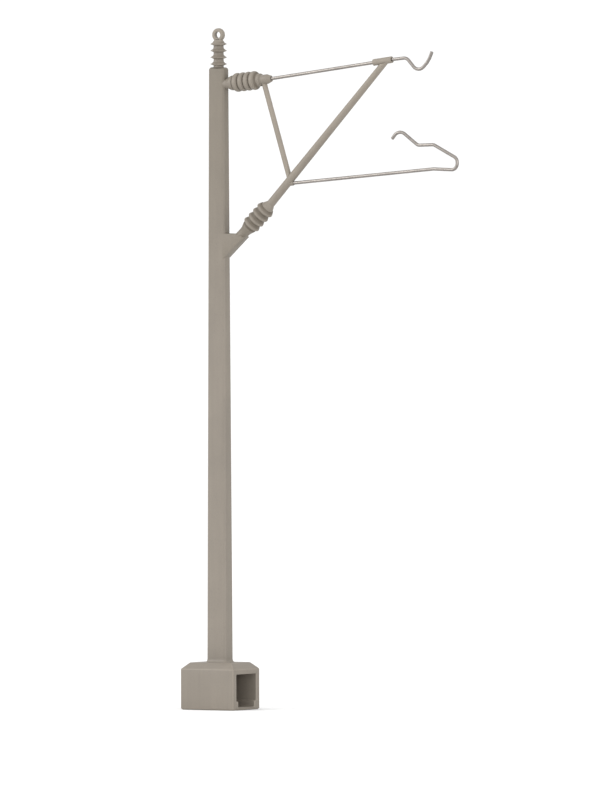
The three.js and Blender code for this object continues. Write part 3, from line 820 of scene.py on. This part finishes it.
def make_tube():
    """A taper that ends inside the sleeve's wall, with a bored boss for the steady arm."""
    taper = [(TUBE_LOW_RADIUS, -TUBE_SINK), (TUBE_HIGH_RADIUS, tube_length)]
    body = turned(taper, tube_frame)
    along = tube_frame.to_3x3() @ Vector((0, 0, 1))
    outward = sleeve_frame.to_3x3() @ Vector((-1, 0, 0))
    wall = sleeve_frame.translation - outward * (SLEEVE_RADIUS + BORE_RADIUS) / 2
    for vertex in body.verts:
        excess = (vertex.co - wall).dot(outward)
        if excess > 0:
            vertex.co -= along * excess / along.dot(outward)
    # Painted light, more of it towards the tube's upper end
    light_low, light_high = TUBE_PAINTED_LIGHT
    light_more = (light_high - light_low) / tube_length
    mark(body, "painted_light", lambda place: light_low + light_more * (place - tube_start).length)
    steady_frame = frame_between(*STEADY_ARM[:2])
    piece = make_object("tube_body", body)
    combine(piece, rod(ARM_BOSS_RADIUS, *ARM_BOSS, steady_frame), "UNION")
    combine(piece, rod(BORE_RADIUS, -0.03, BORE_DEPTH, steady_frame, edge=0), "DIFFERENCE")
    finish_piece(piece, "cantilever_tube")


def make_sleeve():
    half = SLEEVE_LENGTH / 2
    square = [(BORE_RADIUS, -half), (SLEEVE_RADIUS, -half), (SLEEVE_RADIUS, half), (BORE_RADIUS, half)]
    section = soften(square, SLEEVE_ROUNDING, closed=True)
    add_piece("wire_sleeve_tube", hoop(section, sleeve_frame), "wire_sleeve", painted_light=SLEEVE_PAINTED_LIGHT)


# ---- Wires -------------------------------------------------------------------------------------


def wire_line(corners):
    """The wire's centre line as (point, heading) sections: straight runs joined by round bends."""
    points = [Vector((x, z)) for x, z, _ in corners]
    runs = [after - before for before, after in zip(points, points[1:])]
    headings = [math.atan2(run.y, run.x) for run in runs]
    line = [(points[0], headings[0])]
    for i in range(1, len(points) - 1):
        heading = headings[i - 1]
        turn = math.remainder(headings[i] - heading, 2 * math.pi)
        side = math.copysign(1, turn)
        radius = corners[i][2]
        setback = radius * math.tan(abs(turn) / 2)
        start = points[i] - setback * Vector((math.cos(heading), math.sin(heading)))
        centre = start + side * radius * Vector((-math.sin(heading), math.cos(heading)))
        steps = max(2, math.ceil(abs(turn) / ARC_STEP))
        for step in range(steps + 1):
            angle = heading + turn * step / steps
            spoke = Vector((math.sin(angle), -math.cos(angle)))
            line.append((centre + side * radius * spoke, angle))
    line.append((points[-1], headings[-1]))
    return line


def make_wire(name, corners, node, body):
    """A round wire, cut square with its edge just broken."""
    line = wire_line(corners)
    (first, heading), (last, far_heading) = line[0], line[-1]
    inward = Vector((math.cos(heading), math.sin(heading))) * WIRE_EDGE
    outward = Vector((math.cos(far_heading), math.sin(far_heading))) * WIRE_EDGE
    sections = [
        (first, heading, WIRE_RADIUS - WIRE_EDGE),
        (first + inward, heading, WIRE_RADIUS),
        *((point, angle, WIRE_RADIUS) for point, angle in line[1:-1]),
        (last - outward, far_heading, WIRE_RADIUS),
        (last, far_heading, WIRE_RADIUS - WIRE_EDGE),
    ]
    rings = []
    for point, angle, radius in sections:
        ring = []
        for i in range(WIRE_SIDES):
            around = 2 * math.pi * i / WIRE_SIDES
            off = radius * math.cos(around)
            x = point.x - off * math.sin(angle)
            z = point.y + off * math.cos(angle)
            ring.append((x, radius * math.sin(around), z))
        rings.append(ring)
    add_piece(name, skin(rings), node, body=body, slot="wire_metal", material=wire_metal)


make_foot()
make_post()
make_head_insulator()
make_head_eye()
make_upper_bracket()
make_upper_insulator()
make_upper_collar()
make_strut()
make_lower_bracket()
make_lower_insulator()
make_lower_collar()
make_tube()
make_sleeve()
make_wire("messenger_hook_wire", MESSENGER_WIRE, "messenger_wire", "messenger")
make_wire("steady_arm_wire", STEADY_ARM, "steady_arm", "steady")

# ---- Camera ------------------------------------------------------------------------------------

AZIMUTH = math.radians(32)
ELEVATION = math.radians(2.3)
ROLL = math.radians(-0.1375)
DISTANCE = 1.0
VIEW_HEIGHT = 117.28 * MM
AIM_RIGHT = 11.7 * MM  # the view's centre, from the centre of the foot's underside
AIM_UP = 45.35 * MM


def make_camera():
    right = Vector((math.cos(AZIMUTH), math.sin(AZIMUTH), 0))
    back = Vector((
        math.sin(AZIMUTH) * math.cos(ELEVATION),
        -math.cos(AZIMUTH) * math.cos(ELEVATION),
        math.sin(ELEVATION),
    ))
    right = Matrix.Rotation(ROLL, 3, back) @ right
    up = back.cross(right)
    aim = right * AIM_RIGHT + up * AIM_UP
    data = bpy.data.cameras.new("camera")
    data.type = "ORTHO"
    data.ortho_scale = VIEW_HEIGHT
    data.clip_start = 0.01
    data.clip_end = 100
    camera = bpy.data.objects.new("camera", data)
    turn = Matrix((right, up, back)).transposed().to_4x4()
    camera.matrix_world = Matrix.Translation(aim + back * DISTANCE) @ turn
    bpy.context.collection.objects.link(camera)
    bpy.context.scene.camera = camera


make_camera()

# ---- Studio ------------------------------------------------------------------------------------

FLOOR_SIZE = 40.0
FLOOR_GREY = 0.76
SKY_FRONT = 1.8  # the sky's strength towards -Y
SKY_BACK = 0.95  # and towards +Y
LIGHT_SIZE = 0.3


def add_light(name, place, power, aim):
    data = bpy.data.lights.new(name, "AREA")
    data.size = LIGHT_SIZE
    data.energy = power
    light = bpy.data.objects.new(name, data)
    light.location = place
    light.rotation_euler = (Vector(aim) - Vector(place)).to_track_quat("-Z", "Y").to_euler()
    bpy.context.collection.objects.link(light)


def make_sky():
    """Even white light, brighter from the front than from behind."""
    world = bpy.data.worlds.new("studio")
    world.use_nodes = True
    tree = world.node_tree
    background = tree.nodes["Background"]
    background.inputs["Color"].default_value = grey(1)
    direction = tree.nodes.new("ShaderNodeTexCoord").outputs["Generated"]
    split = tree.nodes.new("ShaderNodeSeparateXYZ")
    strength = tree.nodes.new("ShaderNodeMapRange")
    strength.inputs["From Min"].default_value = -1
    strength.inputs["To Min"].default_value = SKY_FRONT
    strength.inputs["To Max"].default_value = SKY_BACK
    tree.links.new(direction, split.inputs["Vector"])
    tree.links.new(split.outputs["Y"], strength.inputs["Value"])
    tree.links.new(strength.outputs["Result"], background.inputs["Strength"])
    bpy.context.scene.world = world


def make_floor():
    mesh = bpy.data.meshes.new("floor")
    half = FLOOR_SIZE / 2
    corners = [(-half, -half, 0), (half, -half, 0), (half, half, 0), (-half, half, 0)]
    mesh.from_pydata(corners, [], [(0, 1, 2, 3)])
    floor = bpy.data.objects.new("floor", mesh)
    paint = bpy.data.materials.new("floor_pale")
    paint.use_nodes = True
    shader = paint.node_tree.nodes["Principled BSDF"]
    shader.inputs["Base Color"].default_value = grey(FLOOR_GREY)
    shader.inputs["Roughness"].default_value = 0.9
    mesh.materials.append(paint)
    bpy.context.collection.objects.link(floor)


bpy.context.scene.view_settings.view_transform = "Standard"
make_sky()
make_floor()
add_light("key", (-0.45, -0.5, 0.35), power=2.0, aim=(0.015, 0, 0.05))
add_light("fill", (0.5, -0.2, 0.04), power=1.6, aim=(0, 0, 0))
